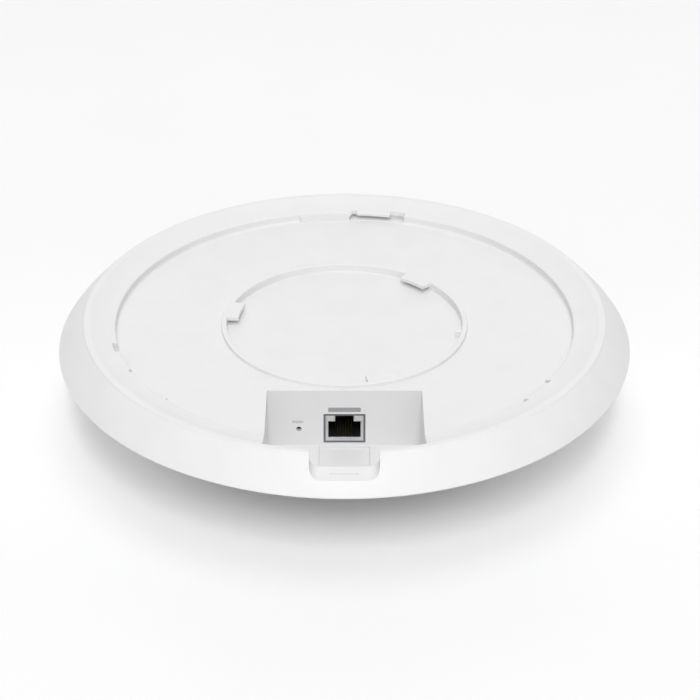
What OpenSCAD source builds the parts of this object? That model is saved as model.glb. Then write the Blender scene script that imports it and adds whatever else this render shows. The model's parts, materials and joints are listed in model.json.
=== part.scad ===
// Ceiling access point: a round radio unit that twists onto a ceiling bracket.
// +Z points at the ceiling, the domed face looks down, and the cable pocket is on the -Y side.
// The origin is the centre of the back plane, so the whole unit lies between z = -body_h and z = 0.

/* [Body] */
// Diameter over the rim, the widest line of the unit
body_d = 220; // [218:1:224]
// Height from the ceiling plane to the lowest point of the dome
body_h = 48; // [48:0.5:52]
// Depth of the bevel, from the back plane down to the rim
rim_drop = 12.3; // [12:0.1:13]
// Wall thickness of the two casings
wall = 2.2; // [2:0.1:2.4]

/* [Back face] */
// Diameter of the edge where the back face turns into the bevel
back_d = 200.6; // [199:0.2:202]
// Diameter of the round well that takes the bracket
well_d = 176; // [174:1:177]
// Depth of the well floor under the back plane
well_depth = 6.2; // [6:0.1:6.6]
// Depth of the well's upper edge under the back plane
dish_depth = 3; // [2.6:0.1:3.4]

/* [Twist lock] */
// Outer diameter of the centre ring
ring_outer_d = 95; // [94:0.5:96]
// Inner diameter of the centre ring
ring_inner_d = 91; // [90:0.5:91.5]
// Angle that each inner lug covers
lug_angle = 16; // [12:1:22]
// How far each inner lug reaches inwards
lug_reach = 4.4; // [3:0.2:5]

/* [Cable pocket] */
// Width of the pocket
pocket_w = 56.8; // [54:0.2:58]
// Depth of the pocket floor under the back plane
pocket_depth = 30; // [29.6:0.1:30.2]
// Width of the cable exit notch in the pocket's outer wall
notch_w = 24.4; // [20:0.2:28]
// Depth of the notch floor under the back plane
notch_depth = 6.9; // [6:0.1:8]

/* [Network jack] */
// Width of the jack's steel can
jack_w = 14.6; // [14.4:0.1:15]
// Number of antennas for the high band
high_band_count = 4; // [2:1:4]

/* [Reset button] */
// Diameter of the pinhole
pinhole_d = 2; // [1.6:0.1:2.4]
// Distance from the plunger's head at rest to the pocket wall
plunger_setback = 1; // [0.8:0.1:1.4]

/* [Hidden] */
$fn = 96;
eps = 0.01;
fit = 0.05;

// Radii of the casings
rim_r = body_d / 2;
back_r = back_d / 2;
well_r = well_d / 2;
ring_r = ring_outer_d / 2;
bore_r = ring_inner_d / 2;
land_w = 1.8;
bevel_bulge = 0.5;
edge_round = 0.7;
small_round = 0.35;
floor_round = 1;

// Heights of the casings
ring_top = -4.9;
recess_z = -8;
well_z = -well_depth;
lip_z = -dish_depth;
rim_z = -rim_drop;
split = 0.3;
joint_z = rim_z - split;

// Bracket slots in the well's wall, and the lugs
lock_count = 3;
slot_from = 74;
slot_angle = 14.6;
stop_angle = 14.1;
slot_depth = 3.4;
slot_low = -6;
slot_high = -4.3;
slot_lead = 2;
entry_cuts = [[-0.5, 4, 2.2], [12.6, 1.4, 1.4]];
backing_t = 1.5;
stop_reach = 1.2;
stop_lap = 0.3;
lug_from = 41;
lug_t = 1.3;
bump_at = 350;

// Cable pocket, notch and jack opening
pocket_y = -49;
pocket_r = 97.8;
pocket_wall = 2;
pocket_floor_t = 2.2;
pocket_ramp_r = 74;
pocket_ramp_z = -13;
channel_w = 18.8;
channel_depth = 1;
channel_out = -72;
notch_round = 3.4;
notch_from = -88;
mark_size = [10, 1, 0.4];
mark_y = -102.2;
jack_gap = 0.45;
jack_h = 11.7;
jack_z = -22.7;
pinhole_x = -16.9;
pinhole_z = -23;

// Front casing
dome_r = 240;
dome_flat_r = 4.5;
side_top_r = rim_r - 1.9;
lip_round = 0.8;
lip_h = 0.35;
skirt_slope = 34;
skirt_r = side_top_r - lip_round + lip_round * sin(skirt_slope);
skirt_top = joint_z - lip_h - lip_round * cos(skirt_slope);
knee_out = rim_r - 29;
knee_in = rim_r - 44;
knee_steps = 8;
dome_steps = 18;
tongue_r = 102.6;
tongue_t = 1.4;
tongue_top = joint_z + 3.2;
seal_r = 105.6;
seal_w = 1.2;
rim_foot_r = 104.9;
rim_foot_z = -9.5;
seal_depth = 0.9;

// Snap hooks of the front casing and their catches on the back casing
hook_count = 8;
hook_first = 22.5;
hook_angle = 6;
catch_angle = 8;
hook_r = 99.2;
hook_t = 1.6;
hook_top = -5.4;
hook_low = -17;
hook_foot_low = -15.5;
barb_reach = 2.2;
barb_low = -8.2;
barb_high = -6.6;
catch_r = 94.5;
catch_t = 1.5;
ledge_r = 98;
ledge_low = -9.6;
ledge_high = -8.4;
catch_root = -2.6;

// Board stack
board_r = 76.5;
board_t = 1.6;
board_top = -28.7;
board_low = board_top - board_t;
cutout_w = pocket_w + 2 * pocket_wall + 2;
cutout_y = pocket_y + pocket_wall + 1;
post_r = 71;
post_outer_r = 3.2;
board_screw_angles = [38, 142, 208, 332];
standoff_r = 62;
standoff_angles = [35, 115, 165, 225, 320];
sink_screw_angles = [30, 90, 150, 210, 330];
sink_screw_r = 80;
sink_r = 86;
sink_high = -11.2;
sink_low = -13;
rib_count = 24;
rib_from = 54;
rib_to = 74;
rib_t = 1.6;
rib_h = 1.6;
boss_r = 4;
tray_r = 70;
tray_high = -33.6;
tray_t = 0.8;
tray_low = tray_high - tray_t;

// Screws
m3_r = 1.45;
m3_hole_r = 1.5;
m3_clear_r = 1.65;
m3_head_r = 2.7;
m3_head_h = 1.8;
m25_r = 1.2;
m25_head_r = 2.3;
m25_head_h = 1.4;
recess_r = 1;
recess_depth = 0.9;

// Chips and cans: [x, y] on the board, sizes as [x, y, z]
can_h = 2.6;
can_t = 0.3;
chip_h = 1.2;
processor_at = [-6, 14];
processor_size = [17, 17, chip_h];
memory_size = [9, 11, 1];
memory_at = [[11, 6], [11, 22]];
radio_size = [10, 10, chip_h];
radio_at = [[39, 14], [-6, 50]];
cans = [[[0, 14], [40, 36]], [[44, 14], [30, 30]], [[0, 50], [30, 24]]];
inductor_at = [[-30, -12], [-46, -6], [-58, -10], [46, -18], [46, -30], [-34, 12], [-34, 24]];
inductor_size = [7, 7, 4];
capacitor_at = [[-28, -34], [-28, -24], [58, -18]];
capacitor_r = 4;
capacitor_h = 10;
phy_at = [24, -24];
pad_inset = 1;

// Antennas
antenna_low = -38.4;
sheet_t = 0.4;
high_antenna_r = 48;
high_antenna_first = 45;
low_antenna_r = 44;
low_antenna_angles = [0, 180, 270];
feed_gap = 0.6;
coax_r = 0.6;
coax_z = -31.5;
elbow_r = 0.72;
socket_r = 1.3;
plug_r = 1.5;

// Status light
light_r = 31;
light_w = 1.9;
light_depth = 1;
leg_count = 8;
leg_r = 0.75;
leg_high = -42.9;
led_size = [3, 1.5, 0.6];
light_board_high = -41;
light_board_t = 1;
light_board_in = 27;
light_board_out = 38.5;
stake_r = 0.9;
stake_at = 35.6;
stake_first = 22.5;

// Reset switch
switch_size = [6.2, 4.4, 8.6];
switch_y = -44.6;
plunger_r = 1.6;
plunger_head = pocket_y + pocket_wall + plunger_setback;
plunger_nose_r = 0.7;
collar_r = 2.2;
collar_y = -43;
collar_t = 0.6;
nose_l = 0.5;
cavity_front = collar_y - 0.03;
cavity_back = -41;

// ---- shared functions and shapes ----

// Points along an arc in a plane, from one angle to another
function arc_points(centre, r, from, to, steps = 6) =
    [for (i = [0:steps]) let (a = from + (to - from) * i / steps)
        [centre[0] + r * cos(a), centre[1] + r * sin(a)]];

// Points from one corner to another along a shallow outward bulge
function bulged(a, b, bulge, steps = 10) =
    let (d = b - a, n = [-d[1], d[0]] / norm(d))
    [for (i = [0:steps]) let (t = i / steps) a + d * t + n * bulge * 4 * t * (1 - t)];

// Height of the dome's outer face at a radius, with a small flat at its centre
function dome_z(r) = -body_h + max(0, r * r - dome_flat_r * dome_flat_r) / (2 * dome_r);
function dome_slope(r) = r > dome_flat_r ? atan(r / dome_r) : 0;

// A place on a circle
function on_circle(r, angle) = [r * cos(angle), r * sin(angle)];

module disc(r, low, high) {
    translate([0, 0, low]) cylinder(r = r, h = high - low);
}

module ring(inner, outer, low, high) {
    rotate_extrude() translate([inner, low]) square([outer - inner, high - low]);
}

module sector(inner, outer, low, high, from, angle) {
    rotate([0, 0, from])
        rotate_extrude(angle = angle)
            translate([inner, low]) square([outer - inner, high - low]);
}

// A block centred on a place in X and Y, standing on a height
module block(at, size, low) {
    translate([at[0] - size[0] / 2, at[1] - size[1] / 2, low]) cube(size);
}

// A moulded package: a low body with a slightly smaller raised top
module chip(at, size) {
    step = 0.2;
    block(at, [size[0], size[1], size[2] - step], board_top);
    block(at, [size[0] - 2 * step, size[1] - 2 * step, size[2]], board_top);
}

// A pan head screw pointing up: its head hangs under the given height
module screw(at, under, head_r, head_h, shank_r, shank_top) {
    translate([at[0], at[1], 0]) difference() {
        union() {
            disc(head_r, under - head_h, under);
            disc(shank_r, under - eps, shank_top);
        }
        disc(recess_r, under - head_h - eps, under - head_h + recess_depth);
    }
}

// ---- rear cover ----

// Outer face of the back casing, from the axis to the rim
function back_face() = concat(
    [[0, recess_z]],
    arc_points([bore_r - small_round, recess_z + small_round], small_round, -90, 0),
    arc_points([bore_r + small_round, ring_top - small_round], small_round, 180, 90),
    arc_points([ring_r - small_round, ring_top - small_round], small_round, 90, 0),
    [[ring_r, well_z]],
    arc_points([well_r - floor_round, well_z + floor_round], floor_round, -90, 0),
    arc_points([well_r + small_round, lip_z - small_round], small_round, 180, 105),
    bulged([well_r + 1, lip_z + 0.25], [back_r - land_w - 1, -0.12], -0.25),
    [[back_r - land_w, 0]],
    arc_points([back_r - edge_round, -edge_round], edge_round, 90, 45),
    bulged([back_r + 0.1, -edge_round], [rim_r - 0.25, rim_z + 1.1], bevel_bulge),
    arc_points([rim_r - edge_round, rim_z + edge_round], edge_round, 0, -90));

// Inner face of the back casing, from the rim back to the axis
function back_inside() = [
    [rim_foot_r, rim_z],
    [rim_foot_r, rim_foot_z],
    [back_r - 1, -wall - 0.2],
    [well_r + wall, lip_z - wall],
    [well_r + wall, well_z - wall],
    [ring_r + 0.4, well_z - wall],
    [ring_r + 0.4, recess_z - wall],
    [0, recess_z - wall]];

// The pocket's floor is level near the jack and then rises towards the rim, following the dome
module pocket_space(grow, floor_grow, high) {
    low = -pocket_depth - floor_grow;
    intersection() {
        rotate_extrude() polygon([
            [0, low],
            [pocket_ramp_r + grow / 2, low],
            [pocket_r + grow, pocket_ramp_z - floor_grow],
            [pocket_r + grow, high],
            [0, high]]);
        translate([-pocket_w / 2 - grow, -rim_r, low])
            cube([pocket_w + 2 * grow, rim_r + pocket_y + grow, high - low]);
    }
}

// Everything under the middle of the back casing's wall, used to trim what is added inside
module back_envelope() {
    mid = wall / 2;
    rotate_extrude() polygon([
        [0, recess_z - mid],
        [ring_r + 0.2, recess_z - mid],
        [ring_r + 0.2, well_z - mid],
        [well_r + mid, well_z - mid],
        [well_r + mid, lip_z - mid],
        [back_r - 0.8, -mid],
        [rim_r - mid - 0.6, rim_z + mid],
        [rim_r - mid - 0.6, -body_h],
        [0, -body_h]]);
}

module pocket_casing() {
    intersection() {
        pocket_space(pocket_wall, pocket_floor_t, 0);
        back_envelope();
    }
}

// Floor under the notch, where it runs out past the pocket's outer wall
module notch_backing() {
    intersection() {
        translate([-notch_w / 2 - pocket_wall, -rim_r, -notch_depth - pocket_wall])
            cube([notch_w + 2 * pocket_wall, rim_r - pocket_r, notch_depth + pocket_wall]);
        back_envelope();
    }
}

module notch_cut() {
    flat = notch_w / 2 - notch_round;
    translate([0, notch_from, 0]) rotate([90, 0, 0]) {
        translate([-notch_w / 2, -notch_depth + notch_round, 0])
            cube([notch_w, notch_depth, rim_r]);
        translate([-flat, -notch_depth, 0]) cube([2 * flat, notch_depth, rim_r]);
        for (side = [-1, 1])
            translate([side * flat, -notch_depth + notch_round, 0])
                cylinder(r = notch_round, h = rim_r);
    }
}

module jack_cut() {
    translate([-jack_w / 2 - jack_gap, pocket_y - 1, jack_z - jack_h / 2 - jack_gap])
        cube([jack_w + 2 * jack_gap, pocket_wall + 2, jack_h + 2 * jack_gap]);
}

module pinhole_cut() {
    translate([pinhole_x, pocket_y - 1, pinhole_z]) rotate([-90, 0, 0])
        cylinder(r = pinhole_d / 2, h = pocket_wall + 2);
}

// The three undercut slots in the well's wall, where the bracket's feet turn in, each with a
// wide and a narrow cut down through its lip: [start angle, angle, depth]
module lock_slots() {
    for (i = [0:lock_count - 1]) {
        from = slot_from + i * 360 / lock_count;
        sector(well_r - slot_lead, well_r + slot_depth, slot_low, slot_high, from, slot_angle);
        for (cut = entry_cuts)
            sector(well_r - 0.5, well_r + cut[2], slot_low + 0.4, 1, from + cut[0], cut[1]);
    }
}

// The thicker wall behind and under each slot, and the stop beside it
module lock_backing() {
    outer = well_r + slot_depth + wall;
    low = slot_low - backing_t;
    for (i = [0:lock_count - 1]) {
        from = slot_from + i * 360 / lock_count;
        sector(well_r + 1, outer, low, slot_high + 1, from - 2.2, slot_angle + 4.4);
        sector(well_r - stop_reach, well_r + 1, well_z - 1, lip_z - 0.5,
            from + slot_angle - stop_lap, stop_angle);
    }
}

// The three lugs inside the centre ring, with room under each for the bracket's fingers
module ring_lugs() {
    for (i = [0:lock_count - 1])
        sector(bore_r - lug_reach, bore_r + 1, ring_top - lug_t, ring_top,
            lug_from + i * 360 / lock_count, lug_angle);
    sector(bore_r - 2.2, bore_r + 1, recess_z - 1, ring_top - 0.6, bump_at, 3);
}

module cover_catches() {
    for (i = [0:hook_count - 1]) {
        from = hook_first + i * 360 / hook_count - catch_angle / 2;
        sector(catch_r, catch_r + catch_t, ledge_low, catch_root, from, catch_angle);
        sector(catch_r, ledge_r, ledge_low, ledge_high, from, catch_angle);
    }
}

module sink_bosses() {
    for (a = sink_screw_angles)
        translate(on_circle(sink_screw_r, a)) disc(boss_r, sink_high, well_z - 1);
}

module rear_cover() {
    color("whitesmoke") difference() {
        union() {
            rotate_extrude() polygon(concat(back_face(), back_inside()));
            pocket_casing();
            notch_backing();
            lock_backing();
            ring_lugs();
            cover_catches();
            sink_bosses();
        }
        pocket_space(0, 0, 1);
        translate([-channel_w / 2, channel_out, -pocket_depth - channel_depth])
            cube([channel_w, pocket_y - 1 - channel_out, channel_depth + 1]);
        notch_cut();
        block([0, mark_y], [mark_size[0], mark_size[1], 1], -notch_depth - mark_size[2]);
        jack_cut();
        pinhole_cut();
        lock_slots();
        for (a = sink_screw_angles)
            translate(on_circle(sink_screw_r, a)) disc(m3_hole_r, sink_high - 1, well_z - 1.4);
    }
}

// ---- front cover ----

// Height of the steep skirt under the rim at a radius
function skirt_z(r) = skirt_top - (skirt_r - r) * tan(skirt_slope);

// The knee between skirt and dome: where their tangents cross, and places along it
knee_steep = knee_in / dome_r;
knee_cross = (dome_z(knee_in) - skirt_z(knee_out) + knee_out * tan(skirt_slope)
    - knee_in * knee_steep) / (tan(skirt_slope) - knee_steep);
knee_corners = [[knee_out, skirt_z(knee_out)], [knee_cross, skirt_z(knee_cross)],
    [knee_in, dome_z(knee_in)]];
function knee_place(t) = knee_corners[0] * (1 - t) * (1 - t) + knee_corners[1] * 2 * t * (1 - t)
    + knee_corners[2] * t * t;
function knee_turn(t) =
    let (d = (knee_corners[1] - knee_corners[0]) * (1 - t) + (knee_corners[2] - knee_corners[1]) * t)
    atan(d[1] / d[0]);

// Places down the knee and along the dome to the axis: [radius, height, slope]
function face_places() = concat(
    [for (i = [0:knee_steps]) let (t = i / knee_steps, p = knee_place(t)) [p[0], p[1], knee_turn(t)]],
    [for (i = [1:dome_steps]) let (r = knee_in * (1 - i / dome_steps)) [r, dome_z(r), dome_slope(r)]]);

// Height of the skirt's inner face at a radius
function skirt_inner_z(r) = skirt_z(r) + wall / cos(skirt_slope);

// The casing's section, moved inwards from its outer face
function front_face(inset) =
    [for (p = face_places()) [p[0] - inset * sin(p[2]), p[1] + inset * cos(p[2])]];

// A list of points in reverse order
function reversed(points) = [for (i = [len(points) - 1:-1:0]) points[i]];

module front_shell() {
    rotate_extrude() polygon(concat(
        arc_points([side_top_r - small_round, joint_z - small_round], small_round, 90, 0),
        arc_points([side_top_r - lip_round, joint_z - lip_h], lip_round, 0, skirt_slope - 90),
        front_face(0),
        reversed(front_face(wall)),
        [[tongue_r, skirt_inner_z(tongue_r)],
            [tongue_r, tongue_top],
            [tongue_r + tongue_t, tongue_top],
            [tongue_r + tongue_t, joint_z]]));
}

module snap_hooks() {
    for (i = [0:hook_count - 1]) {
        from = hook_first + i * 360 / hook_count - hook_angle / 2;
        sector(hook_r, tongue_r + 0.4, hook_foot_low, joint_z, from, hook_angle);
        sector(hook_r, hook_r + hook_t, hook_low, hook_top, from, hook_angle);
        sector(hook_r - barb_reach, hook_r + eps, barb_low, barb_high, from, hook_angle);
    }
}

module light_board_stakes() {
    for (i = [0:2]) translate(on_circle(stake_at, stake_first + 120 * i)) {
        disc(2.2, dome_z(stake_at) + 1, light_board_high - light_board_t);
        disc(stake_r, light_board_high - light_board_t - eps, light_board_high + 0.6);
        disc(stake_r + 0.7, light_board_high, light_board_high + 0.6);
    }
}

module front_cover() {
    color("white") difference() {
        union() {
            front_shell();
            snap_hooks();
            light_board_stakes();
        }
        ring(seal_r - fit, seal_r + seal_w + fit, joint_z - seal_depth, joint_z + 1);
        ring(light_r - light_w / 2 - fit, light_r + light_w / 2 + fit, -body_h - 1,
            dome_z(light_r) + light_depth);
        for (i = [0:leg_count - 1])
            translate(on_circle(light_r, 360 / leg_count * i))
                disc(leg_r + fit, -body_h, leg_high + 1);
    }
}

module cover_gasket() {
    color("dimgray") ring(seal_r, seal_r + seal_w, joint_z - seal_depth, rim_z);
}

module light_ring() {
    color("aliceblue") {
        rotate_extrude() polygon([
            [light_r - light_w / 2, dome_z(light_r) + light_depth],
            [light_r - light_w / 2, dome_z(light_r - light_w / 2) + 0.15],
            [light_r - light_w / 2 + 0.3, dome_z(light_r - light_w / 2) - 0.1],
            [light_r + light_w / 2 - 0.3, dome_z(light_r + light_w / 2) - 0.1],
            [light_r + light_w / 2, dome_z(light_r + light_w / 2) + 0.15],
            [light_r + light_w / 2, dome_z(light_r) + light_depth]]);
        for (i = [0:leg_count - 1])
            translate(on_circle(light_r, 360 / leg_count * i))
                disc(leg_r, dome_z(light_r) + light_depth - eps, leg_high);
    }
}

// ---- heat sink and its screws ----

// Where the board is held: screws near its edge, and standoffs that also carry the antenna tray
function post_places() = concat(
    [for (a = board_screw_angles) on_circle(post_r, a)],
    [for (a = standoff_angles) on_circle(standoff_r, a)]);

module heat_sink() {
    color("silver") difference() {
        union() {
            difference() {
                disc(sink_r, sink_low, sink_high);
                translate([-cutout_w / 2, -sink_r - 1, sink_low - 1])
                    cube([cutout_w, sink_r + 1 + cutout_y, 4]);
            }
            for (i = [0:rib_count - 1]) let (a = (i + 0.5) * 360 / rib_count)
                if (abs(a - 270) > 40) rotate([0, 0, a])
                    translate([rib_from, -rib_t / 2, sink_high - eps])
                        cube([rib_to - rib_from, rib_t, rib_h]);
            for (at = post_places()) translate(at) disc(post_outer_r, board_top, sink_low + eps);
            for (c = pedestals())
                block(c[0], [c[1][0], c[1][1], sink_low + eps - c[2]], c[2]);
        }
        for (at = post_places()) translate(at) disc(m3_hole_r, board_top - 1, board_top + 7.5);
        for (a = sink_screw_angles)
            translate(on_circle(sink_screw_r, a)) disc(m3_clear_r, sink_low - 1, sink_high + 1);
    }
}

// Blocks under the plate that reach down to the pads: [place, footprint, height of the foot]
pad_t = 1;
can_top = board_top + can_h;
function inset_size(size) = [size[0] - pad_inset, size[1] - pad_inset];
function pedestals() = [
    [processor_at, inset_size(processor_size), can_top + pad_t],
    [radio_at[0], inset_size(radio_size), can_top + pad_t],
    [radio_at[1], inset_size(radio_size), can_top + pad_t],
    [phy_at, inset_size(radio_size), board_top + chip_h + pad_t]];

module heat_sink_screws() {
    color("darkgray") for (a = sink_screw_angles)
        screw(on_circle(sink_screw_r, a), sink_low, m3_head_r, m3_head_h, m3_r, well_z - 1.7);
}

module thermal_pads() {
    color("lightsteelblue") for (c = pedestals()) {
        block(c[0], [c[1][0], c[1][1], pad_t], c[2] - pad_t);
        if (c[2] > board_top + chip_h + pad_t + eps)
            block(c[0], [c[1][0], c[1][1], can_h - can_t - chip_h], board_top + chip_h);
    }
}

// ---- main board and what it carries ----

module main_board() {
    color("darkgreen") difference() {
        disc(board_r, board_low, board_top);
        translate([-cutout_w / 2, -board_r - 1, board_low - 1])
            cube([cutout_w, board_r + 1 + cutout_y, board_t + 2]);
        for (at = post_places()) translate(at) disc(m3_clear_r, board_low - 1, board_top + 1);
    }
}

module board_screws() {
    color("darkgray") for (a = board_screw_angles)
        screw(on_circle(post_r, a), board_low, m3_head_r, m3_head_h, m3_r, board_top + 6.5);
}

module processor_chip() {
    color("dimgray") chip(processor_at, processor_size);
}

module memory_chips() {
    color("black") for (at = memory_at) chip(at, memory_size);
}

module flash_chip() {
    color("black") chip([27, -8], [8, 6, 0.9]);
}

module radio_chips() {
    color("dimgray") for (at = radio_at) chip(at, radio_size);
}

module amplifier_chips() {
    color("black") {
        for (i = [0:3]) chip([53, 4 + 6.8 * i], [4, 4, 0.8]);
        for (i = [0:2]) chip([8, 43.5 + 6.5 * i], [4, 4, 0.8]);
        chip([-36, 38], [5, 5, 0.8]);
    }
}

module ethernet_chip() {
    color("black") chip(phy_at, radio_size);
}

module power_controller_chips() {
    color("black") for (at = [[-56, -34], [-38, -8], [-44, 18], [36, -24]]) chip(at, [5, 5, 0.9]);
}

module clock_crystals() {
    color("lightgray") for (at = [[-16.5, 27], [33, 24], [-12, 58], [14, -6]])
        block(at, [3.2, 2.5, 0.8], board_top);
}

// Rows of small parts beside the larger packages
module ceramic_capacitors() {
    color("tan") {
        for (i = [0:5]) block([-17, 3 + 3.2 * i], [0.8, 1.6, 0.8], board_top);
        for (i = [0:4]) block([20.8 + 2.6 * i, -14.5], [0.8, 1.6, 0.8], board_top);
        for (i = [0:5]) block([-26.5, 4 + 4 * i], [1.6, 0.8, 0.8], board_top);
        for (i = [0:4]) block([-35, -38 + 3 * i], [1.6, 0.8, 0.8], board_top);
        for (i = [0:4]) block([52, -32 + 2.4 * i], [1.6, 0.8, 0.8], board_top);
        for (i = [0:4]) block([22 + 4 * i, 36], [0.8, 1.6, 0.8], board_top);
    }
}

// A moulded choke: a square body with a round lid
module inductor(at) {
    lid = 0.8;
    block(at, [inductor_size[0], inductor_size[1], inductor_size[2] - lid], board_top);
    translate(at) disc(inductor_size[0] / 2 - 0.3, board_top + 1, board_top + inductor_size[2]);
}

module power_inductors() {
    color("slategray") for (at = inductor_at) inductor(at);
}

// Aluminium can capacitors on square bases, with the rolled waist of the can
module power_capacitors() {
    base = 1.2;
    waist_z = 2.6;
    color("gainsboro") for (at = capacitor_at) {
        block(at, [2 * capacitor_r + 0.3, 2 * capacitor_r + 0.3, base], board_top);
        translate(at) difference() {
            disc(capacitor_r, board_top + base - eps, board_top + capacitor_h);
            ring(capacitor_r - 0.35, capacitor_r + 1, board_top + waist_z, board_top + waist_z + 0.7);
        }
    }
}

// Ferrite core around a wound bobbin
module poe_transformer() {
    size = [15, 14, 9.4];
    window = 3.2;
    at = [-46, -24];
    color("darkslategray") {
        difference() {
            block(at, size, board_top);
            for (side = [-1, 1])
                block([at[0] + side * 4.2, at[1]], [window, size[1] + 1, 5], board_top + 2.2);
        }
        block(at, [11, size[1] + 4, 1.2], board_top);
    }
}

module ethernet_transformer() {
    at = [0, -18.6];
    size = [16, 12, 5.6];
    leads = 8;
    pitch = 1.9;
    color("black") {
        block(at, size, board_top);
        for (i = [0:leads - 1])
            block([at[0] + (i - (leads - 1) / 2) * pitch, at[1]], [0.5, size[1] + 2.6, 0.3], board_top);
    }
}

// Drawn steel lids over the processor and the two radios
module radio_shield_cans() {
    hole_r = 0.8;
    color("silver") for (can = cans) let (size = can[1]) difference() {
        block(can[0], [size[0], size[1], can_h], board_top);
        block(can[0], [size[0] - 2 * can_t, size[1] - 2 * can_t, can_h], board_top - can_t);
        for (i = [-2:2], side = [-1, 1])
            translate([can[0][0] + i * 5, can[0][1] + side * (size[1] / 2 - 2.2), 0])
                disc(hole_r, board_top, board_top + can_h + 1);
    }
}

// ---- network jack ----

can_wall = 0.25;
jack_l = 21;
jack_front = pocket_y + 0.15;
jack_low = jack_z - jack_h / 2;
mouth_w = 12;
mouth_h = 7;
mouth_low = jack_low + 1.9;
key_w = 6.9;
key_h = 2.45;
mouth_depth = 13;
window_w = 2.8;
window_h = 1.6;
window_x = 5.13;
window_l = 17;
window_top = jack_low + jack_h - can_wall - 0.3;

// The plug's space: a wide slot with the latch key on top
module jack_mouth() {
    translate([-mouth_w / 2, jack_front - 1, mouth_low]) cube([mouth_w, mouth_depth + 1, mouth_h]);
    translate([-key_w / 2, jack_front - 1, mouth_low + mouth_h - eps])
        cube([key_w, mouth_depth + 1, key_h]);
}

module window_cuts() {
    for (side = [-1, 1])
        translate([side * window_x - window_w / 2, jack_front - 1, window_top - window_h])
            cube([window_w, window_l + 1, window_h]);
}

module ethernet_jack_housing() {
    color("black") difference() {
        translate([-jack_w / 2 + can_wall, jack_front + 0.4, jack_low + can_wall])
            cube([jack_w - 2 * can_wall, jack_l - 0.4 - can_wall, jack_h - 2 * can_wall]);
        jack_mouth();
        window_cuts();
        contact_slots();
    }
}

// Eight slots in the floor of the mouth, one under each contact
contact_pitch = 1.02;
contact_w = 0.4;
module contact_slots() {
    for (i = [0:7])
        translate([(i - 3.5) * contact_pitch - 0.3, jack_front + 1.6, jack_low + can_wall + 0.3])
            cube([0.6, mouth_depth - 1.6 + 3, mouth_low - jack_low]);
}

// Folded steel can with a turned-in front rim
module ethernet_jack_shield() {
    face = 0.4;
    color("lightgray") difference() {
        translate([-jack_w / 2, jack_front, jack_low]) cube([jack_w, jack_l, jack_h]);
        translate([-jack_w / 2 + can_wall, jack_front + face, jack_low + can_wall])
            cube([jack_w - 2 * can_wall, jack_l - face - can_wall, jack_h - 2 * can_wall]);
        jack_mouth();
        window_cuts();
    }
}

// Spring contacts: each rises out of its slot and slopes back into the mouth
module ethernet_contacts() {
    wire = 0.35;
    foot = jack_low + can_wall + 0.35;
    rise = 1.9;
    color("gold") for (i = [0:7])
        translate([(i - 3.5) * contact_pitch - contact_w / 2, jack_front + 1.8, foot])
            rotate([90, 0, 90]) linear_extrude(contact_w)
                polygon([[0, 0], [mouth_depth - 2.2, 0], [mouth_depth - 2.2, wire], [1.1, wire],
                    [mouth_depth - 3.4, rise - 0.1], [mouth_depth - 3.6, rise + wire - 0.1],
                    [0, wire + 0.1]]);
}

module jack_light_pipes() {
    inset = 0.03;
    color("honeydew") for (side = [-1, 1])
        translate([side * window_x - window_w / 2 + inset, jack_front + 0.05,
                window_top - window_h + inset])
            cube([window_w - 2 * inset, window_l - 0.1, window_h - 2 * inset]);
}

// ---- reset switch ----

module reset_switch() {
    color("dimgray") difference() {
        union() {
            block([pinhole_x, switch_y + switch_size[1] / 2], switch_size, board_top);
            for (side = [-1, 1])
                block([pinhole_x + side * (switch_size[0] / 2 + 0.3), switch_y + 2.2],
                    [0.6, 1.2, 3], board_top);
        }
        translate([pinhole_x, switch_y - 1, pinhole_z]) rotate([-90, 0, 0])
            cylinder(r = plunger_r + fit, h = 3);
        translate([pinhole_x, cavity_front, pinhole_z]) rotate([-90, 0, 0])
            cylinder(r = collar_r + fit, h = cavity_back - cavity_front);
    }
}

// The snap disc that the plunger presses on
module reset_switch_dome() {
    disc_r = 1.9;
    rise = 0.4;
    sheet = 0.08;
    curve_r = (disc_r * disc_r + rise * rise) / (2 * rise);
    spread = asin(disc_r / curve_r);
    translate([pinhole_x, cavity_back - sheet, pinhole_z]) rotate([90, 0, 0])
        color("silver") rotate_extrude() polygon(concat(
            arc_points([0, rise - curve_r], curve_r, 90 - spread, 90),
            arc_points([0, rise - curve_r], curve_r - sheet, 90, 90 - spread)));
}

module reset_button() {
    color("black") translate([pinhole_x, 0, pinhole_z]) rotate([-90, 0, 0]) rotate_extrude()
        polygon(concat(
            [[0, plunger_head]],
            arc_points([plunger_r - 0.3, plunger_head + 0.3], 0.3, -90, 0),
            [[plunger_r, collar_y], [collar_r, collar_y], [collar_r, collar_y + collar_t],
                [plunger_nose_r, collar_y + collar_t],
                [plunger_nose_r, collar_y + collar_t + nose_l],
                [0, collar_y + collar_t + nose_l]]));
}

// ---- antennas ----

high_antennas = [for (i = [0:high_band_count - 1]) high_antenna_first + 90 * i];

// Feed points in the plane, where a cable comes up through the tray
function high_feed(a) = on_circle(high_antenna_r, a);
function low_feed(a) = on_circle(low_antenna_r, a);
function high_socket(i) = [[30, 20], [-16, 40], [-46, -34], [40, -22]][i];
function low_socket(i) = [[38, 6], [-40, 4], [8, -22]][i];

module coax_sockets() {
    color("goldenrod") {
        for (i = [0:high_band_count - 1]) translate(high_socket(i)) coax_socket();
        for (i = [0:2]) translate(low_socket(i)) coax_socket();
    }
}

module coax_socket() {
    disc(socket_r, coax_z + coax_r + 0.1, board_low);
}

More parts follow.
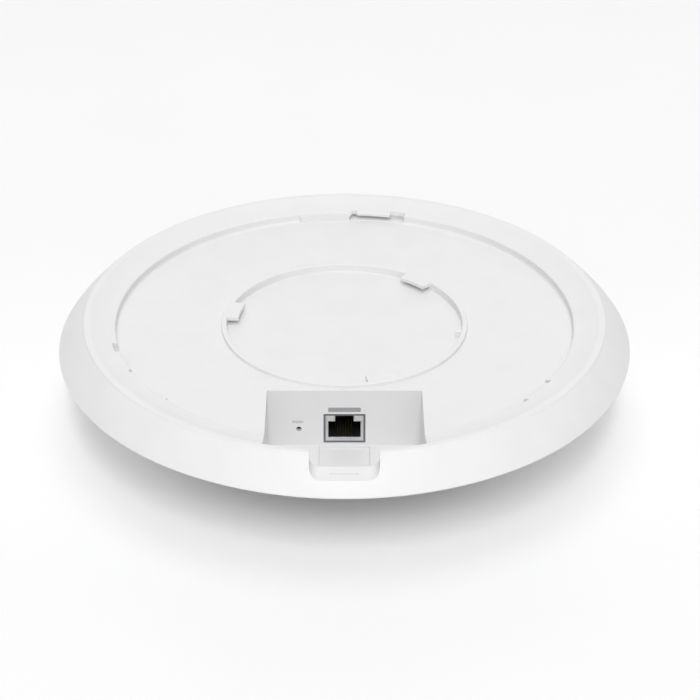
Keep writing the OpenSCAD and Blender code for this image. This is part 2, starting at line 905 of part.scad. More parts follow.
// A plug over the socket, a level run in the space over the tray and a drop to the feed
module coax_run(from, to) {
    run = to - from;
    translate(from) disc(plug_r, coax_z - 0.8, coax_z + coax_r + 0.1);
    translate([from[0], from[1], coax_z]) rotate([0, 90, atan2(run[1], run[0])])
        cylinder(r = coax_r, h = norm(run), $fn = 24);
    translate([to[0], to[1], coax_z]) sphere(r = elbow_r, $fn = 24);
    translate(to) disc(coax_r, tray_low - feed_gap, coax_z);
}

module antenna_cables() {
    color("dimgray") {
        for (i = [0:high_band_count - 1]) coax_run(high_socket(i), high_feed(high_antennas[i]));
        for (i = [0:2]) coax_run(low_socket(i), low_feed(low_antenna_angles[i]));
    }
}

module antenna_tray() {
    slot = [9, 5, 2];
    tray_lip = 1.2;
    color("silver") difference() {
        union() {
            disc(tray_r, tray_low, tray_high);
            ring(tray_r - tray_t, tray_r, tray_low, tray_high + tray_lip);
        }
        translate([-cutout_w / 2, -tray_r - 1, tray_high])
            cube([cutout_w, tray_r + 1 + cutout_y, tray_lip + 1]);
        for (a = standoff_angles)
            translate(on_circle(standoff_r, a)) disc(m25_r + 0.15, tray_low - 1, tray_high + 1);
        for (a = high_antennas)
            translate(high_feed(a)) disc(coax_r + 0.5, tray_low - 1, tray_high + 1);
        for (a = low_antenna_angles)
            translate(low_feed(a)) disc(coax_r + 0.5, tray_low - 1, tray_high + 1);
        block([0, ribbon_slot_y], slot, tray_low - 0.5);
    }
}

module tray_standoffs() {
    across = 5.5;
    color("goldenrod") for (a = standoff_angles) translate(on_circle(standoff_r, a)) difference() {
        union() {
            translate([0, 0, tray_high])
                cylinder(r = across / sqrt(3), h = board_low - tray_high, $fn = 6);
            disc(m3_r, board_low - eps, board_top + 6.5);
        }
        disc(m25_r + fit, tray_high - 1, board_low - 0.3);
    }
}

module tray_screws() {
    color("darkgray") for (a = standoff_angles)
        screw(on_circle(standoff_r, a), tray_low, m25_head_r, m25_head_h, m25_r, board_low - 0.5);
}

// Folded sheet antenna: a plate held off the tray by one leg, fed by a narrow second leg
module sheet_antenna(length, width, leg_w) {
    plate_h = antenna_low;
    translate([-length / 2, -width / 2, plate_h]) cube([length, width, sheet_t]);
    translate([length / 2 - sheet_t, -leg_w / 2, plate_h])
        cube([sheet_t, leg_w, tray_low - plate_h]);
    translate([-sheet_t / 2, -1, plate_h]) cube([sheet_t, 2, tray_low - feed_gap - plate_h]);
    translate([length / 2 - sheet_t, -leg_w / 2, tray_low - sheet_t]) cube([4, leg_w, sheet_t]);
}

module high_band_antennas() {
    color("silver") for (a = high_antennas) rotate([0, 0, a])
        translate([high_antenna_r, 0, 0]) sheet_antenna(13, 7, 5);
}

module low_band_antennas() {
    color("silver") for (a = low_antenna_angles) rotate([0, 0, a])
        translate([low_antenna_r, 0, 0]) sheet_antenna(24, 10, 7);
}

// A small upright board with a meander track, in a foot on the tray
module bluetooth_antenna() {
    at = [-20, -24];
    color("darkgreen") {
        block(at, [14, 0.8, 5.4], tray_low - 5.4);
        block([at[0], at[1]], [8, 3, 1], tray_low - 1);
    }
    color("goldenrod") for (i = [0:5])
        block([at[0] - 5 + 2 * i, at[1] + 0.4], [0.8, 0.12, 3], tray_low - 4.8);
}

// ---- status light and its ribbon ----

ribbon_w = 6;
ribbon_t = 0.3;
ribbon_path = [[33, -39.7], [37, -39.7], [44.5, -31.4], [49, -31.4]];
ribbon_slot_y = 42.9;

module status_light_board() {
    color("white") difference() {
        ring(light_board_in, light_board_out, light_board_high - light_board_t, light_board_high);
        for (i = [0:2])
            translate(on_circle(stake_at, stake_first + 120 * i))
                disc(stake_r + fit, light_board_high - 2, light_board_high + 1);
    }
}

module status_leds() {
    color("lightyellow") for (i = [0:leg_count - 1]) rotate([0, 0, 360 / leg_count * i])
        block([light_r, 0], led_size, light_board_high - light_board_t - led_size[2]);
}

module ribbon_connectors() {
    color("ivory") {
        block([0, 31], [9, 4, 1.6], light_board_high);
        block([0, 51.5], [9, 5, 1.7], board_low - 1.7);
    }
}

module ribbon_cable() {
    upper = [for (p = reversed(ribbon_path)) [p[0], p[1] + ribbon_t]];
    color("ivory") translate([-ribbon_w / 2, 0, 0]) rotate([90, 0, 90])
        linear_extrude(ribbon_w) polygon(concat(ribbon_path, upper));
}

rear_cover();
front_cover();
cover_gasket();
light_ring();
heat_sink();
heat_sink_screws();
thermal_pads();
main_board();
board_screws();
processor_chip();
memory_chips();
flash_chip();
radio_chips();
amplifier_chips();
ethernet_chip();
power_controller_chips();
clock_crystals();
ceramic_capacitors();
power_inductors();
power_capacitors();
poe_transformer();
ethernet_transformer();
radio_shield_cans();
ethernet_jack_housing();
ethernet_jack_shield();
ethernet_contacts();
jack_light_pipes();
reset_switch();
reset_switch_dome();
reset_button();
coax_sockets();
antenna_cables();
antenna_tray();
tray_standoffs();
tray_screws();
high_band_antennas();
low_band_antennas();
bluetooth_antenna();
status_light_board();
status_leds();
ribbon_connectors();
ribbon_cable();
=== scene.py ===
"""Looks of the ceiling access point: materials, fine surface detail, floor, light and camera.

Lengths are in metres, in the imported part's own frame: +Z points at the ceiling, the cable pocket is at -Y.
"""

import json
import math

import bpy
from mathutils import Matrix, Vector


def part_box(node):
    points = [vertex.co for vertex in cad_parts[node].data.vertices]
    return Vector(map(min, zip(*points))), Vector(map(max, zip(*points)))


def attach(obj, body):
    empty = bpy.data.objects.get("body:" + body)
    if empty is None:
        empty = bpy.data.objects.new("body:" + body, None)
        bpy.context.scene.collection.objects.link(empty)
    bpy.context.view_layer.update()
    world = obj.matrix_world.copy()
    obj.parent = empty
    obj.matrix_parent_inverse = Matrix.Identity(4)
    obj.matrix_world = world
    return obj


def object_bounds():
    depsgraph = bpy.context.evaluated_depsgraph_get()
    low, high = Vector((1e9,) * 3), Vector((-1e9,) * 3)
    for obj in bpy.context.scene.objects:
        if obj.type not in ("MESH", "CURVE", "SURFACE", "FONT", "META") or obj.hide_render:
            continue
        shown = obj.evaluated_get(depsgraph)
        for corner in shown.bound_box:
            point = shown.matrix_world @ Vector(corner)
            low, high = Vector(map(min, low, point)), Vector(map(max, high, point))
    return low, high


MM = 0.001

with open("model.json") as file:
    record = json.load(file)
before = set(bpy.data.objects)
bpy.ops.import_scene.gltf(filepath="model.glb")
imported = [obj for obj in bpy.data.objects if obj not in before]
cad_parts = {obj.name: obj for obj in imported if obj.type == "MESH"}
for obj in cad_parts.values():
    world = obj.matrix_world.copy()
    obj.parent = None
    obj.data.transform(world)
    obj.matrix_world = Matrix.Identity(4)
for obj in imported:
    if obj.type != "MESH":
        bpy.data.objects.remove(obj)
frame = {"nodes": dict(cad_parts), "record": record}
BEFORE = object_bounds()

RECORD = frame["record"]
NODES = frame["nodes"]
COLOUR = {m["slot"]: tuple(m["base_color"]) + (1.0,) for m in RECORD["materials"]}
SLOT = {s["node"]: s["material_slot"] for s in RECORD["subparts"]}


# ---- node graphs ----


class Graph:
    """A material's node tree, with short ways to add and join nodes."""

    def __init__(self, name):
        self.material = bpy.data.materials.new(name)
        self.material.use_nodes = True
        self.tree = self.material.node_tree
        self.shader = self.tree.nodes["Principled BSDF"]
        self.place = self.add("ShaderNodeTexCoord").outputs["Object"]

    def add(self, kind, **settings):
        node = self.tree.nodes.new(kind)
        for key, value in settings.items():
            setattr(node, key, value)
        return node

    def join(self, source, target):
        self.tree.links.new(source, target)

    def feed(self, socket, value):
        """A socket takes another node's output or a plain value."""
        if isinstance(value, bpy.types.NodeSocket):
            self.join(value, socket)
        else:
            socket.default_value = value

    def noise(self, size, detail=2.0, rough=0.5, stretch=None):
        """Noise whose grains are about this size."""
        node = self.add("ShaderNodeTexNoise")
        node.inputs["Scale"].default_value = 1.0 / size
        node.inputs["Detail"].default_value = detail
        node.inputs["Roughness"].default_value = rough
        place = self.place
        if stretch:
            mapping = self.add("ShaderNodeMapping")
            mapping.inputs["Scale"].default_value = stretch
            self.join(place, mapping.inputs["Vector"])
            place = mapping.outputs["Vector"]
        self.join(place, node.inputs["Vector"])
        return node.outputs["Fac"]

    def cells(self, size, feature="F1"):
        node = self.add("ShaderNodeTexVoronoi", feature=feature)
        node.inputs["Scale"].default_value = 1.0 / size
        self.join(self.place, node.inputs["Vector"])
        return node.outputs["Distance"]

    def spread(self, value, low, high, from_low=0.3, from_high=0.7):
        """Maps a 0..1 pattern to low..high, using its middle range."""
        node = self.add("ShaderNodeMapRange")
        node.inputs["From Min"].default_value = from_low
        node.inputs["From Max"].default_value = from_high
        node.inputs["To Min"].default_value = low
        node.inputs["To Max"].default_value = high
        self.join(value, node.inputs["Value"])
        return node.outputs["Result"]

    def maths(self, a, b, kind="MULTIPLY"):
        node = self.add("ShaderNodeMath", operation=kind)
        self.feed(node.inputs[0], a)
        self.feed(node.inputs[1], b)
        return node.outputs["Value"]

    def mix(self, share, a, b):
        node = self.add("ShaderNodeMix", data_type="RGBA")
        self.feed(node.inputs["Factor"], share)
        self.feed(node.inputs["A"], a)
        self.feed(node.inputs["B"], b)
        return node.outputs["Result"]

    def rounded(self, radius):
        """Normals with the hard edges rounded over this radius."""
        node = self.add("ShaderNodeBevel", samples=6)
        node.inputs["Radius"].default_value = radius
        return node.outputs["Normal"]

    def edges(self, rounded):
        """Close to 1 on hard edges and 0 on open faces."""
        geometry = self.add("ShaderNodeNewGeometry")
        dot = self.add("ShaderNodeVectorMath", operation="DOT_PRODUCT")
        self.join(rounded, dot.inputs[0])
        self.join(geometry.outputs["Normal"], dot.inputs[1])
        return self.spread(dot.outputs["Value"], 0.0, 1.0, 0.995, 0.86)

    def bump(self, height, depth, normal=None):
        node = self.add("ShaderNodeBump")
        node.inputs["Distance"].default_value = depth
        self.join(height, node.inputs["Height"])
        if normal is not None:
            self.join(normal, node.inputs["Normal"])
        return node.outputs["Normal"]


def shade(colour, by):
    return tuple(c * by for c in colour[:3]) + (1.0,)


def moulded(name, colour, rough, grain=0.25 * MM, depth=0.006 * MM, edge=0.22 * MM, wear=1.03):
    """Moulded plastic: spark-eroded grain, slow tone drift, and edges rounded and a little polished."""
    g = Graph(name)
    fine = g.noise(grain, 3.0, 0.6)
    drift = g.noise(14 * MM, 2.0)
    rounded = g.rounded(edge)
    edges = g.edges(rounded)
    tone = g.mix(g.spread(drift, 0.0, 1.0), shade(colour, 0.985), shade(colour, 1.01))
    tone = g.mix(g.maths(edges, 0.5), tone, shade(colour, wear))
    g.feed(g.shader.inputs["Base Color"], tone)
    ruffle = g.spread(fine, rough - 0.05, rough + 0.06)
    ruffle = g.maths(ruffle, g.maths(edges, 0.08), "SUBTRACT")
    g.feed(g.shader.inputs["Roughness"], ruffle)
    g.feed(g.shader.inputs["Normal"], g.bump(fine, depth, rounded))
    return g.material


def metal(name, colour, rough, stretch=(1, 1, 1), grain=0.3 * MM, depth=0.004 * MM, edge=0.12 * MM):
    """Metal with a drawn or cast grain, patches of handling, and bright edges."""
    g = Graph(name)
    fine = g.noise(grain, 4.0, 0.65, stretch)
    patches = g.noise(5 * MM, 3.0)
    rounded = g.rounded(edge)
    edges = g.edges(rounded)
    tone = g.mix(g.spread(patches, 0.0, 1.0), shade(colour, 0.86), shade(colour, 1.04))
    tone = g.mix(g.maths(edges, 0.6), tone, shade(colour, 1.18))
    g.feed(g.shader.inputs["Base Color"], tone)
    g.shader.inputs["Metallic"].default_value = 1.0
    ruffle = g.spread(g.maths(fine, patches), rough - 0.08, rough + 0.1, 0.1, 0.5)
    g.feed(g.shader.inputs["Roughness"], ruffle)
    g.feed(g.shader.inputs["Normal"], g.bump(fine, depth, rounded))
    return g.material


def speckled(name, colour, rough, size, darker, depth=0.004 * MM):
    """A pressed or fired body with a fine speckle of a darker tone."""
    g = Graph(name)
    speck = g.cells(size)
    fine = g.noise(size * 0.5, 3.0)
    rounded = g.rounded(0.12 * MM)
    tone = g.mix(g.spread(speck, 0.0, 1.0, 0.2, 0.6), colour, shade(colour, darker))
    tone = g.mix(g.maths(g.edges(rounded), 0.4), tone, shade(colour, 1.3))
    g.feed(g.shader.inputs["Base Color"], tone)
    g.feed(g.shader.inputs["Roughness"], g.spread(fine, rough - 0.06, rough + 0.06))
    g.feed(g.shader.inputs["Normal"], g.bump(fine, depth, rounded))
    return g.material


# How much darker a slot is than its colour in the record
TONE = {"casing_white": 0.90, "dome_white": 0.90, "tinned_steel": 0.86, "window": 0.72}

# Settings that several finishes share: grain, depth and edge in mm
CASTING = {"grain": 0.5, "depth": 0.02}
LAMINATE = {"grain": 0.4, "depth": 0.004, "edge": 0.08}
PACKAGE = {"grain": 0.12, "depth": 0.006, "edge": 0.08}
PRINT = {"grain": 0.3, "depth": 0.004, "edge": 0.02}

# Each slot's kind of surface, its roughness and its settings, with lengths in mm
FINISHES = {
    "casing_white": (moulded, 0.46, {}),
    "dome_white": (moulded, 0.42, {}),
    "seal": (moulded, 0.7, {"grain": 0.2, "depth": 0.01}),
    "light_guide": (moulded, 0.3, {"grain": 0.1, "depth": 0.003}),
    "cast_aluminium": (metal, 0.5, CASTING),
    "screw_steel": (metal, 0.32, {}),
    "thermal_pad": (moulded, 0.75, {"grain": 0.35, "depth": 0.02}),
    "circuit_board": (moulded, 0.3, {**LAMINATE, "wear": 1.4}),
    "light_board": (moulded, 0.34, LAMINATE),
    "chip_black": (moulded, 0.55, {**PACKAGE, "wear": 1.8}),
    "chip_lid": (moulded, 0.48, {**PACKAGE, "depth": 0.005, "wear": 1.6}),
    "crystal_can": (metal, 0.28, {"stretch": (1, 12, 12), "edge": 0.08}),
    "ceramic": (speckled, 0.6, {"size": 0.1, "darker": 0.8}),
    "ferrite": (speckled, 0.62, {"size": 0.15, "darker": 0.6}),
    "capacitor_can": (metal, 0.3, {"stretch": (12, 12, 1), "edge": 0.15}),
    "tinned_steel": (metal, 0.34, {"stretch": (1, 8, 1), "grain": 0.2, "depth": 0.002, "edge": 0.1}),
    "jack_plastic": (moulded, 0.32, {"grain": 0.15, "depth": 0.003, "edge": 0.12, "wear": 2.0}),
    "gold_plate": (metal, 0.32, {"stretch": (1, 10, 1), "grain": 0.1, "depth": 0.001, "edge": 0.05}),
    "window": (moulded, 0.3, {"grain": 0.2, "depth": 0.002, "edge": 0.1}),
    "switch_plastic": (moulded, 0.5, {"grain": 0.12, "depth": 0.005, "edge": 0.1, "wear": 1.6}),
    "button_black": (moulded, 0.34, {"grain": 0.12, "depth": 0.003, "edge": 0.1, "wear": 2.0}),
    "cable_jacket": (moulded, 0.5, {"grain": 0.1, "depth": 0.004, "edge": 0.08, "wear": 1.5}),
    "brass_post": (metal, 0.28, {"stretch": (1, 1, 14)}),
    "led_resin": (moulded, 0.2, {"grain": 0.1, "depth": 0.002, "edge": 0.08}),
    "connector_ivory": (moulded, 0.44, {"grain": 0.15, "depth": 0.004, "edge": 0.1}),
    "ribbon": (moulded, 0.38, {"grain": 0.2, "depth": 0.003, "edge": 0.05}),
    "print_grey": (moulded, 0.5, PRINT),
    "print_pale": (moulded, 0.5, PRINT),
    "copper_wire": (metal, 0.3, {"stretch": (1, 1, 10), "grain": 0.1}),
    "solder": (metal, 0.3, {"grain": 0.2}),
    "phosphor": (moulded, 0.5, {"grain": 0.05, "depth": 0.002, "edge": 0.05}),
}

# Colours of the surfaces that only this file adds
COLOUR.update({
    "print_grey": (0.36, 0.36, 0.37, 1.0),
    "print_pale": (0.62, 0.62, 0.63, 1.0),
    "copper_wire": (0.72, 0.36, 0.20, 1.0),
    "solder": (0.68, 0.68, 0.67, 1.0),
    "phosphor": (0.86, 0.72, 0.18, 1.0),
})

LENGTHS = ("grain", "depth", "edge", "size")


def finishes():
    """One material for each of the record's slots, and for each surface added here."""
    made = {}
    for slot, (kind, rough, settings) in FINISHES.items():
        scaled = {key: value * MM if key in LENGTHS else value for key, value in settings.items()}
        colour = shade(COLOUR[slot], TONE.get(slot, 1.0))
        made[slot] = kind(slot, colour, rough=rough, **scaled)
    return made


def dress(materials):
    for node, obj in NODES.items():
        obj.data.materials.clear()
        obj.data.materials.append(materials[SLOT[node]])


# ---- pieces the CAD leaves out ----


class Solid:
    """Collects simple closed shapes into one mesh."""

    def __init__(self):
        self.points = []
        self.faces = []

    def add(self, points, faces):
        start = len(self.points)
        self.points += [tuple(p) for p in points]
        self.faces += [tuple(start + i for i in face) for face in faces]

    def stack(self, rings):
        """A closed skin over rings of points, each ring counter-clockwise seen from the stack's far end."""
        count = len(rings[0])
        faces = [tuple(reversed(range(count)))]
        for level in range(len(rings) - 1):
            low, high = level * count, (level + 1) * count
            for i in range(count):
                j = (i + 1) % count
                faces.append((low + i, low + j, high + j, high + i))
        faces.append(tuple((len(rings) - 1) * count + i for i in range(count)))
        self.add([p for ring in rings for p in ring], faces)

    def pad(self, centre, size, corner, height, frame_axes, soft=0.2):
        """A raised pad with round corners and a softened rim. The axes are its plane's two and its normal."""
        across, up, out = frame_axes
        outline = rounded_outline(size[0] / 2, size[1] / 2, corner)
        inner = 1 - soft * height / min(size)
        rings = []
        for grow, lift in ((1.0, -0.2 * height), (1.0, 0.6 * height), (inner, height)):
            rings.append([centre + across * (x * grow) + up * (y * grow) + out * lift for x, y in outline])
        self.stack(rings)

    def block(self, low, high):
        """An upright block between two corners."""
        x0, y0, z0 = low
        x1, y1, z1 = high
        self.stack([[(x0, y0, z), (x1, y0, z), (x1, y1, z), (x0, y1, z)] for z in (z0, z1)])

    def turned(self, centre, profile, steps=20):
        """A shape turned about an upright axis from (radius, height) pairs, lowest first."""
        rings = []
        for r, z in profile:
            ring = []
            for i in range(steps):
                a = 2 * math.pi * i / steps
                ring.append((centre[0] + r * math.cos(a), centre[1] + r * math.sin(a), centre[2] + z))
            rings.append(ring)
        self.stack(rings)

    def bent(self, path, width, thick):
        """A flat strip along a path, whose points are (centre, sideways, normal)."""
        rings = []
        for centre, side, normal in path:
            s, n = side * (width / 2), normal * (thick / 2)
            rings.append([centre - s - n, centre + s - n, centre + s + n, centre - s + n])
        self.stack(rings)

    def loop(self, path, radius, steps=8):
        """A closed wire through points that lie level, with a round section."""
        count = len(path)
        start = len(self.points)
        for k in range(count):
            here = Vector(path[k])
            along = (Vector(path[(k + 1) % count]) - Vector(path[k - 1])).normalized()
            side = along.cross(Vector((0, 0, 1)))
            for i in range(steps):
                a = 2 * math.pi * i / steps
                point = here + side * (radius * math.cos(a)) + Vector((0, 0, radius * math.sin(a)))
                self.points.append(tuple(point))
        for k in range(count):
            for i in range(steps):
                a, b = start + k * steps, start + (k + 1) % count * steps
                j = (i + 1) % steps
                self.faces.append((a + i, b + i, b + j, a + j))

    def make(self, name, slot, material, smooth=False):
        mesh = bpy.data.meshes.new(name)
        mesh.from_pydata(self.points, [], self.faces)
        mesh.validate()
        mesh.materials.append(material)
        if smooth:
            mesh.shade_smooth()
        obj = bpy.data.objects.new(name, mesh)
        bpy.context.scene.collection.objects.link(obj)
        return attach(obj, "unit")


def rounded_outline(half_x, half_y, corner, steps=5):
    """A rectangle with round corners as (x, y) points, counter-clockwise."""
    corner = min(corner, half_x, half_y)
    points = []
    for k, (sx, sy) in enumerate(((1, 1), (-1, 1), (-1, -1), (1, -1))):
        for i in range(steps + 1):
            a = math.pi / 2 * (k + i / steps)
            x = sx * (half_x - corner) + corner * math.cos(a)
            y = sy * (half_y - corner) + corner * math.sin(a)
            points.append((x, y))
    return points


def solids(node):
    """(lowest, highest) corner of each separate solid of a CAD node."""
    mesh = NODES[node].data
    key = [tuple(round(c / (0.002 * MM)) for c in v.co) for v in mesh.vertices]
    owner = {k: k for k in key}

    def root(k):
        while owner[k] != k:
            owner[k] = owner[owner[k]]
            k = owner[k]
        return k

    for face in mesh.polygons:
        first = root(key[face.vertices[0]])
        for v in face.vertices[1:]:
            owner[root(key[v])] = first
            first = root(first)
    boxes = {}
    for v, k in zip(mesh.vertices, key):
        low, high = boxes.setdefault(root(k), (Vector(v.co), Vector(v.co)))
        for i in range(3):
            low[i] = min(low[i], v.co[i])
            high[i] = max(high[i], v.co[i])
    return sorted(boxes.values(), key=lambda b: tuple(round(c, 6) for c in b[0]))


X, Y, Z = Vector((1, 0, 0)), Vector((0, 1, 0)), Vector((0, 0, 1))
ON_WALL = (X, Z, -Y)


def lead(solid, foot, outward, sideways, rise, width=0.3 * MM, thick=0.13 * MM):
    """A gull-wing lead: out of the package, down, and flat on the board."""
    shoulder, toe = 0.35 * MM, 0.55 * MM
    top = foot + Z * rise
    path = [
        (top - outward * (0.3 * MM), sideways, Z),
        (top + outward * shoulder, sideways, (Z + outward).normalized()),
        (foot + outward * (shoulder + 0.15 * MM) + Z * (thick * 0.8), sideways, (Z + outward).normalized()),
        (foot + outward * (shoulder + toe) + Z * (thick * 0.5), sideways, Z),
    ]
    solid.bent(path, width, thick)


def chip_leads(materials):
    """Leads down the two long sides of every leaded chip."""
    leads = Solid()
    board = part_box("main_board")[1][2]
    pitch, free_end = 0.8 * MM, 0.25 * MM
    for node in ("memory_chips", "flash_chip", "power_controller_chips"):
        for low, high in solids(node):
            wide = high[0] - low[0] >= high[1] - low[1]
            along, outward = (X, Y) if wide else (Y, X)
            length = (high - low).dot(along)
            count = int((length - 2 * free_end) / pitch)
            middle = (low + high) / 2
            for sign in (-1, 1):
                edge = (high - low).dot(outward) / 2 * sign
                for i in range(count):
                    shift = (i - (count - 1) / 2) * pitch
                    foot = middle + outward * edge + along * shift
                    foot[2] = board
                    lead(leads, foot, outward * sign, along, 0.4 * (high[2] - board))
    leads.make("chip_leads", "tinned_steel", materials["tinned_steel"])


def pin_one_marks(materials):
    """A small moulded dot in one corner of each chip."""
    dots = Solid()
    for node in ("memory_chips", "flash_chip", "power_controller_chips", "ethernet_chip", "amplifier_chips"):
        for low, high in solids(node):
            inset = 0.18 * min(high[0] - low[0], high[1] - low[1])
            place = (low[0] + inset, high[1] - inset, high[2])
            r = 0.06 * min(high[0] - low[0], high[1] - low[1])
            dots.turned(place, [(r, -0.02 * MM), (r, 0.01 * MM), (0.8 * r, 0.02 * MM)], 14)
    dots.make("chip_pin_one_marks", "connector_ivory", materials["print_grey"])


def capacitor_tops(materials):
    """The dark polarity crescent and the scored cross on each can."""
    marks, scores = Solid(), Solid()
    for low, high in solids("power_capacitors"):
        cx, cy, top = (low[0] + high[0]) / 2, (low[1] + high[1]) / 2, high[2]
        r = 0.44 * (high[0] - low[0])
        cut = 0.42 * r
        span = math.acos(cut / r)
        angles = [-span + 2 * span * i / 14 for i in range(15)]
        arc = [(cx + r * math.cos(a), cy + r * math.sin(a)) for a in angles]
        marks.stack([[(x, y, top + z) for x, y in arc] for z in (-0.02 * MM, 0.02 * MM)])
        for turn in (0.25, 0.75):
            a = math.pi * turn
            axes = (X * math.cos(a) + Y * math.sin(a), Y * math.cos(a) - X * math.sin(a), Z)
            scores.pad(Vector((cx, cy, top)), (1.1 * r, 0.22 * MM), 0.05 * MM, 0.03 * MM, axes)
    marks.make("capacitor_polarity_marks", "chip_black", materials["chip_black"])
    scores.make("capacitor_vents", "capacitor_can", materials["crystal_can"])


def transformer_winding(materials):
    """Three layers of copper turns round the middle leg of the power transformer."""
    low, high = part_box("poe_transformer")
    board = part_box("main_board")[1][2]
    cx, cy = (low[0] + high[0]) / 2, (low[1] + high[1]) / 2
    half_x, half_y, corner = 3.6 * MM, 7.8 * MM, 1.2 * MM
    bottom, top = board + 2.7 * MM, board + 6.7 * MM
    layers, turns, wire = 3, 9, 0.24 * MM
    copper = Solid()
    for layer in range(layers):
        grow = layer * 2 * wire
        outline = rounded_outline(half_x + grow, half_y + grow, corner)
        for i in range(turns):
            z = bottom + (top - bottom) * i / (turns - 1)
            copper.loop([(cx + x, cy + y, z) for x, y in outline], wire, 6)
    copper.make("transformer_winding", "brass_post", materials["copper_wire"], smooth=True)


# Parts whose pins come through the board: pins in a row, and how far the row is from the part's end, in mm
PIN_ROWS = (("ethernet_jack_housing", 8, 4.5), ("ethernet_transformer", 8, 1.5), ("poe_transformer", 5, 2.0))


def solder_joints(materials):
    """Domes of solder under the board where the jack and the transformers come through."""
    joints = Solid()
    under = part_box("main_board")[0][2]
    row_gap = 2.6 * MM
    dome = [(0.32 * MM, -0.55 * MM), (0.42 * MM, -0.4 * MM), (0.75 * MM, -0.12 * MM), (0.95 * MM, 0.04 * MM)]
    for node, count, inset in PIN_ROWS:
        low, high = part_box(node)
        for i in range(count):
            x = low[0] + (high[0] - low[0]) * (i + 0.5) / count
            for y in (high[1] - inset * MM, high[1] - inset * MM - row_gap):
                joints.turned((x, y, under), dome, 14)
    joints.make("solder_joints", "tinned_steel", materials["solder"], smooth=True)


def board_vias(materials):
    """Plated rings round the board's edge, on both faces, left out where the board is cut for the pocket."""
    rings = Solid()
    low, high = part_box("main_board")
    count, edge_gap, pocket_gap = 180, 1.6 * MM, 26 * MM
    radius = (high[0] - low[0]) / 2 - edge_gap
    gap = math.asin((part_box("ethernet_jack_housing")[1][0] + pocket_gap) / radius)
    ring = [(0.35 * MM, -0.02 * MM), (0.35 * MM, 0.015 * MM), (0.28 * MM, 0.025 * MM)]
    turned_over = [(r, -h) for r, h in reversed(ring)]
    for i in range(count):
        a = 2 * math.pi * i / count
        if abs(a - 1.5 * math.pi) < gap:
            continue
        for z, profile in ((high[2], ring), (low[2], turned_over)):
            rings.turned((radius * math.cos(a), radius * math.sin(a), z), profile, 8)
    rings.make("board_edge_vias", "gold_plate", materials["gold_plate"])


def led_phosphor(materials):
    """The yellow dot in the middle of each light."""
    dots = Solid()
    for low, high in solids("status_leds"):
        centre = ((low[0] + high[0]) / 2, (low[1] + high[1]) / 2, low[2])
        dots.turned(centre, [(0.42 * MM, -0.02 * MM), (0.46 * MM, 0.02 * MM)], 14)
    dots.make("led_phosphor", "led_resin", materials["phosphor"])


def jack_gap_painted_shade(materials):
    """Painted shade: a black ring that stands in for the shadow in the gap round the jack's can, filling that
    gap and lapping over the can's front edge.
    """
    low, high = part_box("ethernet_jack_shield")
    gap, clear, lap = 0.42 * MM, 0.02 * MM, 0.3 * MM
    front, can_face, back = low[1] - 0.08 * MM, low[1] - 0.01 * MM, low[1] + 1.2 * MM
    gap_shade_fill = Solid()
    # Black blocks standing in for the shadow in the gap round the jack, with a lap over the can's front edge.
    for outer, inner, depth in ((gap, clear, back), (clear, -lap, can_face)):
        for x in ((low[0] - outer, low[0] - inner), (high[0] + inner, high[0] + outer)):
            gap_shade_fill.block((x[0], front, low[2] - outer), (x[1], depth, high[2] + outer))
        for z in ((low[2] - outer, low[2] - inner), (high[2] + inner, high[2] + outer)):
            gap_shade_fill.block((low[0] - inner, front, z[0]), (high[0] + inner, depth, z[1]))
    # The painted shade in the jack's gap takes the seal material.
    gap_shade_fill.make("jack_gap_painted_shade", "seal", materials["seal"])


def printed_marks(materials):
    """Plain grey bars where the object carries small printing."""
    low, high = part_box("ethernet_jack_shield")
    wall = low[1] - 0.15 * MM
    hole = next(m for m in RECORD["mounts"] if m["name"] == "reset_pinhole")["pos_m"]
    over_jack = Vector((0, wall, high[2] + 2.3 * MM))
    over_hole = Vector((hole[0] - 0.4 * MM, wall, hole[2] + 3.2 * MM))
    corner, height = 0.3 * MM, 0.03 * MM
    for name, centre, size, slot, ink in (
        ("port_mark", over_jack, (12 * MM, 1.9 * MM), "ferrite", "print_grey"),
        ("pinhole_mark", over_hole, (4.2 * MM, 1.1 * MM), "connector_ivory", "print_pale"),
    ):
        bar = Solid()
        bar.pad(centre, size, corner, height, ON_WALL)
        bar.make(name, slot, materials[ink])


def extra_pieces(materials):
    printed_marks(materials)
    # Painted shade: black fill in the gap round the jack's can.
    jack_gap_painted_shade(materials)
    chip_leads(materials)
    pin_one_marks(materials)
    capacitor_tops(materials)
    transformer_winding(materials)
    solder_joints(materials)
    board_vias(materials)
    led_phosphor(materials)


# ---- floor, light and camera ----

FLOOR_Z = BEFORE[0][2]
FLOOR_HALF = 6.0
PAPER = ((0.965, 0.965, 0.967, 1), (0.975, 0.975, 0.976, 1))


def plane(name, half, z, material):
    mesh = bpy.data.meshes.new(name)
    corners = [(-half, -half, z), (half, -half, z), (half, half, z), (-half, half, z)]
    mesh.from_pydata(corners, [], [range(4)])
    obj = bpy.data.objects.new(name, mesh)
    bpy.context.scene.collection.objects.link(obj)
    mesh.materials.append(material)
    return obj


def floor():
    g = Graph("floor_paper")
    fine = g.noise(0.6 * MM, 3.0)
    drift = g.noise(90 * MM, 2.0)
    tone = g.mix(g.spread(drift, 0.0, 1.0), *PAPER)
    g.feed(g.shader.inputs["Base Color"], tone)
    g.feed(g.shader.inputs["Roughness"], g.spread(fine, 0.75, 0.9))
    g.feed(g.shader.inputs["Normal"], g.bump(fine, 0.01 * MM))
    plane("floor", FLOOR_HALF, FLOOR_Z, g.material)


# Brightness of the room: overall, what is added towards the sides, front and back, and what the
# camera sees of it. Softboxes: name, bearing from the front, elevation, width, height, watts
ROOM = {"even": 0.66, "sides": -0.60, "front": 0.36, "back": 0.58, "seen": 0.95}
LIGHT_DISTANCE = 5.0
SOFTBOXES = [
    ("key", 1, 50, 0.75, 2.00, 83.0),
    ("overhead", 0, 89, 3.00, 3.00, 37.5),
]


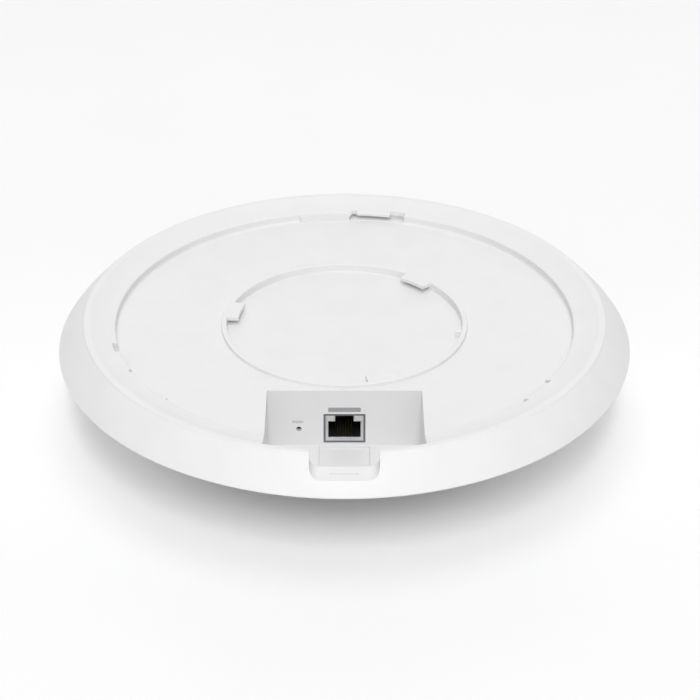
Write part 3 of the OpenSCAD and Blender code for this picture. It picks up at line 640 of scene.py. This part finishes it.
def softbox(name, bearing, rise, width, height, watts):
    light = bpy.data.lights.new(name, "AREA")
    light.shape = "RECTANGLE"
    light.size = width
    light.size_y = height
    light.energy = watts
    obj = bpy.data.objects.new(name, light)
    bpy.context.scene.collection.objects.link(obj)
    a, e = math.radians(bearing), math.radians(rise)
    away = Vector((math.sin(a) * math.cos(e), -math.cos(a) * math.cos(e), math.sin(e)))
    obj.location = away * LIGHT_DISTANCE
    obj.rotation_euler = (-away).to_track_quat("-Z", "Y").to_euler()


def studio():
    """A white room whose walls can be brighter or dimmer towards the sides, the front and the back."""
    world = bpy.data.worlds.new("studio")
    world.use_nodes = True
    tree = world.node_tree
    place = tree.nodes.new("ShaderNodeTexCoord")
    axes = tree.nodes.new("ShaderNodeSeparateXYZ")
    tree.links.new(place.outputs["Generated"], axes.inputs[0])

    def maths(kind, a, b):
        node = tree.nodes.new("ShaderNodeMath")
        node.operation = kind
        for socket, value in zip(node.inputs, (a, b)):
            if isinstance(value, float):
                socket.default_value = value
            else:
                tree.links.new(value, socket)
        return node.outputs[0]

    x, y = axes.outputs["X"], axes.outputs["Y"]
    total = ROOM["even"]
    for share, reach in (
        (ROOM["sides"], x),
        (ROOM["front"], maths("MINIMUM", y, 0.0)),
        (ROOM["back"], maths("MAXIMUM", y, 0.0)),
    ):
        total = maths("ADD", maths("MULTIPLY", maths("MULTIPLY", reach, reach), share), total)
    tree.nodes["Background"].inputs["Color"].default_value = (1, 1, 1, 1)
    seen = tree.nodes.new("ShaderNodeLightPath").outputs["Is Camera Ray"]
    total = maths("MAXIMUM", total, maths("MULTIPLY", seen, ROOM["seen"]))
    tree.links.new(total, tree.nodes["Background"].inputs["Strength"])
    bpy.context.scene.world = world


def light():
    studio()
    for box in SOFTBOXES:
        softbox(*box)
    view = bpy.context.scene.view_settings
    view.view_transform = "Standard"
    view.look = "None"
    view.exposure = 0.0


CAMERA_BACK = 0.6950
CAMERA_UP = 0.3962
CAMERA_PITCH = math.radians(59.20)
CAMERA_LENS = 106.8
CAMERA_SHIFT = 0.0079
SENSOR_MM = 36


def camera():
    lens = bpy.data.cameras.new("photo")
    lens.lens = CAMERA_LENS
    lens.sensor_width = SENSOR_MM
    lens.shift_x = CAMERA_SHIFT
    lens.clip_start = 0.01
    lens.clip_end = 30
    obj = bpy.data.objects.new("photo", lens)
    bpy.context.scene.collection.objects.link(obj)
    obj.location = (0, -CAMERA_BACK, CAMERA_UP)
    obj.rotation_euler = (CAMERA_PITCH, 0, 0)
    bpy.context.scene.camera = obj


MATERIALS = finishes()
dress(MATERIALS)
extra_pieces(MATERIALS)
floor()
light()
camera()
